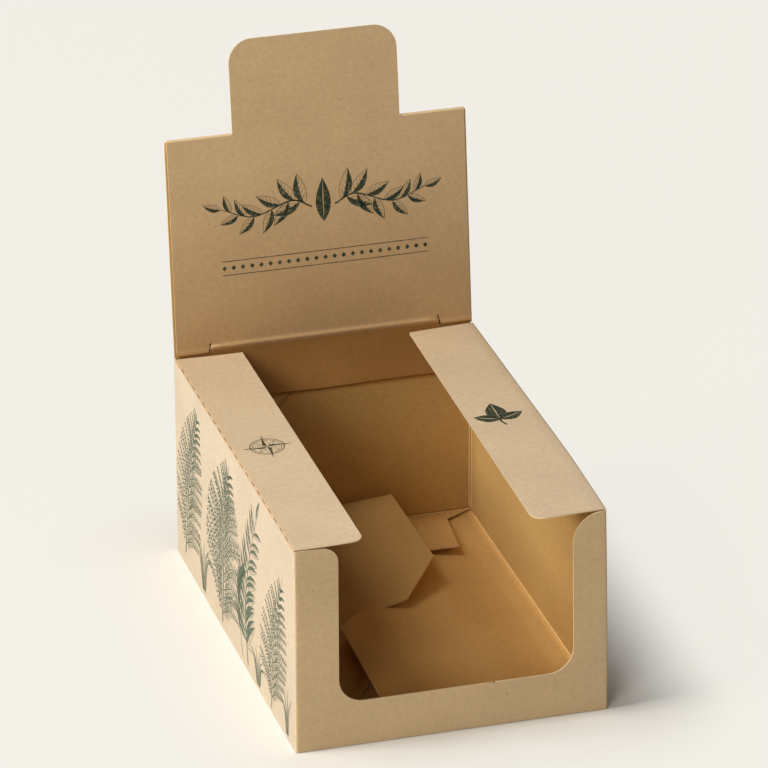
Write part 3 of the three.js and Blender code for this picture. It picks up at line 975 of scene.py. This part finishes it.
def directions(line):
    """The direction of a line at each of its points."""
    along = np.gradient(line, axis=0)
    return np.arctan2(along[:, 1], along[:, 0])


def leaf(base, angle, size, width, veins=4, line=0.22):
    """A pointed oval leaf: one half solid, and the other half an outline with slanted veins."""
    base = np.array(base, float)
    along, across = toward(angle), toward(angle + np.pi / 2)
    t = np.linspace(0, 1, 13)
    half = width / 2 * np.sin(np.pi * t ** 0.8)
    rib = base + along * (t * size)[:, None] + across * (0.04 * size * np.sin(np.pi * t))[:, None]
    upper = rib + across * half[:, None]
    lower = rib - across * half[:, None]
    strips = [(upper, rib + across * line * 0.3 * np.sin(np.pi * t)[:, None]), ribbon(lower, line * 0.8)]
    for k in range(veins):
        at = int(2 + 8 * k / veins)
        strips.append(ribbon(np.linspace(rib[at], (rib[at + 2] + lower[at + 2] * 3) / 4, 3), line, line * 0.4))
    return strips


def solid_leaf(base, angle, size, width):
    """A pointed oval leaf in solid ink, split along its midrib by a thin line of bare board."""
    along, across = toward(angle), toward(angle + np.pi / 2)
    t = np.linspace(0, 1, 15)[:, None]
    half = across * width / 2 * np.sin(np.pi * t ** 0.85)
    rib = np.array(base, float) + along * t * size
    gap = across * 0.22 * np.sin(np.pi * t)
    return [(rib + half, rib + gap), (rib - gap, rib - half)]


def sprig(points, leaves, size, width, tilt=0.8, thick=0.5, veins=4):
    """A stem with leaves on both sides and one at its tip, which get smaller towards the tip."""
    line = curve(points, 40)
    strips = [ribbon(line, thick, thick * 0.4)]
    angles = directions(line)
    for k in range(leaves):
        at = int(5 + 33 * k / leaves)
        share = 1 - 0.45 * k / leaves
        side = 1 if k % 2 else -1
        strips += leaf(line[at], angles[at] + side * tilt, size * share, width * share, veins)
    return strips + leaf(line[-1], angles[-1], size * 0.6, width * 0.6, veins)


def frond(points, pairs, longest, seed, thick=0.6, line=0.22):
    """A fern frond: a stem with pairs of narrow leaflets, each of them a row of short curved strokes."""
    random = np.random.default_rng(seed)
    stem = curve(points, 4 * pairs + 8)
    strips = [ribbon(stem, thick, thick * 0.3)]
    angles = directions(stem)
    for k in range(pairs):
        at = 5 + 4 * k
        t = k / pairs
        reach = longest * (0.35 + 0.65 * np.sin(np.pi * min(1, 0.25 + 0.8 * t))) * (1 - 0.35 * t)
        for side in (-1, 1):
            angle = angles[at] + side * (1.15 - 0.35 * t) + random.normal(0, 0.05)
            tip = stem[at] + toward(angle) * reach
            bend = toward(angle + side * np.pi / 2) * reach * -0.10
            rib = curve([stem[at], (stem[at] + tip) / 2 + bend, tip], 14)
            strips.append(ribbon(rib, line, line * 0.4))
            for j in range(1, 13):
                size = reach * 0.17 * (1 - 0.6 * j / 13)
                for way in (-1, 1):
                    lean = angle + way * (0.85 + random.normal(0, 0.12))
                    end = rib[j] + toward(lean) * size
                    strips.append(ribbon(np.linspace(rib[j], end, 3), line * 0.7, line * 0.3, line * 1.5))
    return strips


def reed(points, seed, grains=26, reach=6.0):
    """A grass stalk with a long ear: short pointed grains that lean along the stalk's upper part."""
    random = np.random.default_rng(seed)
    stem = curve(points, 60)
    strips = [ribbon(stem, 0.55, 0.2)]
    angles = directions(stem)
    for k in range(grains):
        at = int(24 + 34 * k / grains)
        side = 1 if k % 2 else -1
        size = reach * (0.55 + 0.45 * np.sin(np.pi * k / grains))
        angle = angles[at] + side * (0.42 + random.normal(0, 0.06))
        strips += leaf(stem[at], angle, size, size * 0.30, 1, 0.14)
        whisker = stem[at] + toward(angle - side * 0.12) * size * 1.7
        strips.append(ribbon(np.linspace(stem[at], whisker, 4), 0.12, 0.05))
    return strips


def blades(foot, count, height, spread, seed):
    """A tuft of grass: long tapering blades that bend outwards, each with a fine line beside it."""
    random = np.random.default_rng(seed)
    strips = []
    for k in range(count):
        lean = spread * (2 * k / (count - 1) - 1) + random.normal(0, 0.05)
        tall = height * (0.65 + 0.35 * np.cos(lean)) * random.uniform(0.75, 1.0)
        foot_k = np.array(foot) + [lean * 2.2, 0]
        tip = foot_k + [np.sin(lean) * tall, np.cos(lean) * tall * 0.9]
        knee = foot_k + [np.sin(lean * 0.45) * tall * 0.55, tall * 0.55]
        line = curve([foot_k, knee, tip], 16)
        strips.append(ribbon(line, 0.5, 0.1, 0.55))
        strips.append(ribbon(line + [0.75, -0.2], 0.16, 0.08))
    return strips


def compass(reach, ring):
    """A plain star of four long and four short points with two rings: the long points are half solid."""
    turn = np.linspace(0, 2 * np.pi, 73)
    circle = np.stack([np.cos(turn), np.sin(turn)], 1)
    strips = [ribbon(circle * ring, 0.42), ribbon(circle * ring * 0.84, 0.22)]
    for k in range(8):
        far, waist = (reach * 0.58, reach * 0.15) if k % 2 else (reach, reach * 0.2)
        angle = k * np.pi / 4
        tip = toward(angle) * far
        for way in (-1, 1):
            corner = toward(angle + way * np.pi / 4) * waist
            if way > 0 and k % 2 == 0:
                strips.append((np.linspace(np.zeros(2), tip, 6), np.linspace(corner, tip, 6)))
            else:
                strips.append(ribbon(np.linspace(corner, tip, 6), 0.16))
    return strips


def lay(name, strips, place, material):
    """Lays strips, pairs of lines in millimetres on a face, a hair above it, with their faces outwards. The
    face's normal at (u, v) is the cross product of two tiny steps along it."""
    spots, quads, count = [], [], 0
    for one, two in strips:
        n = len(one)
        spots += [one, two]
        index = count + np.arange(n - 1)
        quads.append(np.stack([index, index + 1, index + n + 1, index + n], 1))
        count += 2 * n
    flat = np.concatenate(spots) * MM
    quads = np.concatenate(quads)
    a, b, c, d = (flat[quads[:, k]] for k in range(4))
    turn = (c - a)[:, 0] * (d - b)[:, 1] - (c - a)[:, 1] * (d - b)[:, 0]
    quads[turn < 0] = quads[turn < 0][:, ::-1]
    u, v = flat.T
    here = place(u, v)
    normal = np.cross(place(u + TINY_STEP, v) - here, place(u, v + TINY_STEP) - here)
    normal /= np.linalg.norm(normal, axis=1)[:, None]
    mesh = bpy.data.meshes.new(name)
    mesh.from_pydata((here + normal * INK_LIFT).tolist(), [], quads.tolist())
    mesh.materials.append(material)
    mesh.update()
    return add_object(name, mesh)


def moved(strips, u, v, flip=(1, 1)):
    """The strips, flipped first and then moved by (u, v)."""
    return [(one * flip + [u, v], two * flip + [u, v]) for one, two in strips]


STAR_R = (HALF_WIDTH - FLAP_BEND) / MM - 50.4
LEAVES_R = (HALF_WIDTH - FLAP_BEND) / MM - 47.8
BRANCH_AT = (1.5, 56)
ROW_SPAN = (-42.0, 45.0)
ROW_HEIGHT = 33.4
LOZENGES = 23
UPRIGHT = np.pi / 2


def header_strips():
    """A branch to either side of a leaf, over a row of lozenges between two rules."""
    branch = sprig([[-5, 0], [-14, 3.5], [-30, -1.5], [-44, 3]], 11, 13.5, 5.4, 0.8, 0.8)
    strips = moved(branch, *BRANCH_AT) + moved(branch, *BRANCH_AT, flip=(-1, 1))
    strips += moved(solid_leaf([0, -7], UPRIGHT, 19, 6.5), *BRANCH_AT)
    across = np.linspace(ROW_SPAN[0] - 1, ROW_SPAN[1] + 1, 40)
    strips += [ribbon(np.column_stack([across, 0 * across + ROW_HEIGHT + off]), 0.3) for off in (3, -3)]
    for x in np.linspace(*ROW_SPAN, LOZENGES):
        upper, lower = [[x - 1.0, 0], [x, 1.1]], [[x, -1.1], [x + 1.0, 0]]
        strips.append((np.array(upper) + [0, ROW_HEIGHT], np.array(lower) + [0, ROW_HEIGHT]))
    return strips


def leaf_strips():
    """Three leaves on a short stalk, which point to the front."""
    strips = solid_leaf([0, -4], UPRIGHT, 15.5, 8.5)
    for angle in (0.42, np.pi - 0.42):
        strips += solid_leaf([0, -4], angle, 11.5, 6.6)
    strips.append(ribbon(curve([[0, -3], [0.3, -6], [-0.9, -9.5]], 9), 0.9))
    return moved(strips, LEAVES_R, -1.0, flip=(1, -1))


def plant_strips():
    """Fronds, a leafy stalk, a reed and tufts of grass, from the rear to the front of the left wall. Across is
    nought at the front corner, and what would pass the wall's edges is left out."""
    strips = frond([[-172, 6], [-166, 32], [-158, 58], [-148, 82]], 17, 27, 1, 1.1, 0.42)
    strips += frond([[-112, 3], [-108, 28], [-106, 54], [-98, 80]], 18, 36, 2, 1.3, 0.46)
    strips += blades([-142, 3], 8, 34, 0.9, 3)
    strips += sprig([[-72, 3], [-74, 26], [-68, 50], [-56, 76]], 26, 20, 5.0, 0.9, 1.0, 6)
    strips += reed([[-80, 3], [-84, 22], [-82, 36], [-74, 46]], 5, 24, 7.5)
    strips += frond([[-36, 2], [-33, 24], [-27, 46], [-18, 68]], 14, 24, 6, 1.0, 0.4)
    strips += blades([-12, 2], 7, 24, 0.8, 7)
    strips += blades([-56, 2], 8, 22, 0.9, 8)
    low, high = (-184.5, 0.8), (-1.5, 88.5)
    return [pair for pair in strips if all((line > low).all() and (line < high).all() for line in pair)]


class BuildPrint(bpy.types.Operator):
    """Plants on the left wall, a leafy branch on the header, a star and leaves on the top flaps"""

    bl_idname = "display_box.print"
    bl_label = "Print"

    def execute(self, context):
        s = context.scene.display_box_sizes
        colours = context.scene.display_box_colours
        dark = ink_material("dark_ink", colours.ink)
        pale = ink_material("side_ink", colours.side_ink)
        front = wall_path(s.fold_radius)[1][2] / MM
        star = moved(compass(10.4, 7.0), STAR_R, -0.9)
        for name, strips, place, ink, body in (
            ("header_ornament", header_strips(), front_layer_place(s), dark, "carton"),
            ("left_flap_star", star, flap_place(-1, LEFT_FLAP_WIDTH), dark, "left_flap"),
            ("right_flap_leaves", leaf_strips(), flap_place(1, RIGHT_FLAP_WIDTH), dark, "right_flap"),
            ("side_plants", moved(plant_strips(), front, 0), wall_place(s.fold_radius), pale, "carton"),
        ):
            seat(lay(name, strips, place, ink), body, "dark_ink")
        return {"FINISHED"}


# Stage


GROUND_Z = -0.0001
GLOW_REACH = 0.06
GLOW_SHARE = 0.93
BACKDROP = (0.896, 0.871, 0.807, 1)
EVEN_LIGHT = 0.17
LAMP_COLOUR = (1.0, 0.975, 0.94)
LAMP_AIM = Vector((0, 0, 0.08))

# The camera's axes and place, solved from the box's outer corners in the photograph
VIEW_RIGHT = Vector((0.95974581, -0.28085034, -0.00332697))
VIEW_DOWN = Vector((-0.12247217, -0.40780384, -0.90481854))
VIEW_AHEAD = Vector((0.25276184, 0.86880326, -0.42578438))
VIEW_FROM = Vector((-0.614284, -2.108361 + MIDDLE_Y, 1.144233))
FOCAL_PIXELS = 6000
IMAGE_PIXELS = 768


class BuildStage(bpy.types.Operator):
    """Pale floor, soft lamps and the camera"""

    bl_idname = "display_box.stage"
    bl_label = "Stage"

    def execute(self, context):
        self.floor(context)
        self.lamps(context)
        self.camera(context)
        return {"FINISHED"}

    def floor(self, context):
        """A large pale square. Seen by the camera, its own colour gives way to an even glow away from the box:
        the distance to the box's outline on the ground sets the share."""
        mesh = bpy.data.meshes.new("ground")
        mesh.from_pydata(
            [(x, y, GROUND_Z) for x, y in ((-6, -6), (6, -6), (6, 6), (-6, 6))], [], [(0, 1, 2, 3)])
        material, tree, shader = matt_material("pale_ground", 0.9, 0.0)

        def math(operation, a, b=0):
            return add_node(tree, "Math", {0: a, 1: b}, operation=operation).outputs[0]

        def beyond(distance, half):
            return math("MAXIMUM", math("SUBTRACT", math("ABSOLUTE", distance), half))

        place = add_node(tree, "TexCoord").outputs["Object"]
        place = add_node(tree, "SeparateXYZ", {"Vector": place}).outputs
        beside = beyond(place["X"], HALF_WIDTH)
        ahead = beyond(math("SUBTRACT", place["Y"], MIDDLE_Y), BOX_DEPTH / 2)
        away = math("SQRT", math("ADD", math("POWER", beside, 2), math("POWER", ahead, 2)))
        far = add_node(tree, "MapRange", {
            "From Max": GLOW_REACH, "To Max": GLOW_SHARE, "Value": away}, interpolation_type="SMOOTHSTEP")
        share = math("MULTIPLY", far.outputs["Result"], add_node(tree, "LightPath").outputs["Is Camera Ray"])
        mix = add_node(tree, "Mix", {
            "Factor": share, "A": (*context.scene.display_box_colours.floor, 1), "B": (0, 0, 0, 1),
        }, data_type="RGBA")
        tree.links.new(mix.outputs["Result"], shader.inputs["Base Color"])
        shader.inputs["Emission Color"].default_value = BACKDROP
        tree.links.new(share, shader.inputs["Emission Strength"])
        mesh.materials.append(material)
        add_object("ground", mesh)

    def lamps(self, context):
        """Three soft lamps to the left, aimed at the box, and a weak even light."""
        world = bpy.data.worlds.get("World") or bpy.data.worlds.new("World")
        context.scene.world = world
        world.use_nodes = True
        back = world.node_tree.nodes["Background"]
        back.inputs["Color"].default_value = (*LAMP_COLOUR, 1)
        back.inputs["Strength"].default_value = EVEN_LIGHT
        for name, spot, power, size in (
            ("key", (-1.5, -0.05, 1.3), 28.5, 0.6),
            ("fill", (-1.15, -1.45, 0.95), 15.2, 0.8),
            ("sky", (-0.8, 0.12, 1.6), 7.5, 0.5),
        ):
            lamp = bpy.data.lights.new(name, "AREA")
            lamp.energy, lamp.size, lamp.color = power, size, LAMP_COLOUR
            holder = add_object(name, lamp)
            holder.location = spot
            holder.rotation_euler = (LAMP_AIM - Vector(spot)).to_track_quat("-Z", "Y").to_euler()

    def camera(self, context):
        """The photograph's view: a long lens, to the left of the front and above it."""
        data = bpy.data.cameras.new("camera")
        data.sensor_width = 36.0
        data.lens = data.sensor_width * FOCAL_PIXELS / IMAGE_PIXELS
        data.clip_end = 50
        camera = add_object("camera", data)
        turn = Matrix((VIEW_RIGHT, -VIEW_DOWN, -VIEW_AHEAD)).transposed().to_4x4()
        camera.matrix_world = Matrix.Translation(VIEW_FROM) @ turn
        context.scene.camera = camera


class DisplayBoxPanel(bpy.types.Panel):
    """Lists the parts of the box and their sizes and colours"""

    bl_idname = "VIEW3D_PT_display_box"
    bl_label = "Display box"
    bl_space_type = "VIEW_3D"
    bl_region_type = "UI"
    bl_category = "Display box"

    def draw(self, context):
        for builder in BUILDERS:
            self.layout.operator(builder.bl_idname)
        for group in (context.scene.display_box_sizes, context.scene.display_box_colours):
            for name in group.__annotations__:
                self.layout.prop(group, name)


BUILDERS = (BuildWalls, BuildHeader, BuildFloor, BuildCreases, BuildFlaps, BuildPrint, BuildStage)
CLASSES = (DisplayBoxSizes, DisplayBoxColours, *BUILDERS, DisplayBoxPanel)


def register():
    for each in CLASSES:
        bpy.utils.register_class(each)
    bpy.types.Scene.display_box_sizes = bpy.props.PointerProperty(type=DisplayBoxSizes)
    bpy.types.Scene.display_box_colours = bpy.props.PointerProperty(type=DisplayBoxColours)


def unregister():
    del bpy.types.Scene.display_box_colours
    del bpy.types.Scene.display_box_sizes
    for each in reversed(CLASSES):
        bpy.utils.unregister_class(each)


def main():
    register()
    bpy.context.scene.view_settings.view_transform = "Standard"
    bpy.ops.display_box.walls()
    bpy.ops.display_box.header()
    bpy.ops.display_box.floor()
    bpy.ops.display_box.creases()
    bpy.ops.display_box.flaps()
    bpy.ops.display_box.print()
    bpy.ops.display_box.stage()


if __name__ == "__main__":
    main()
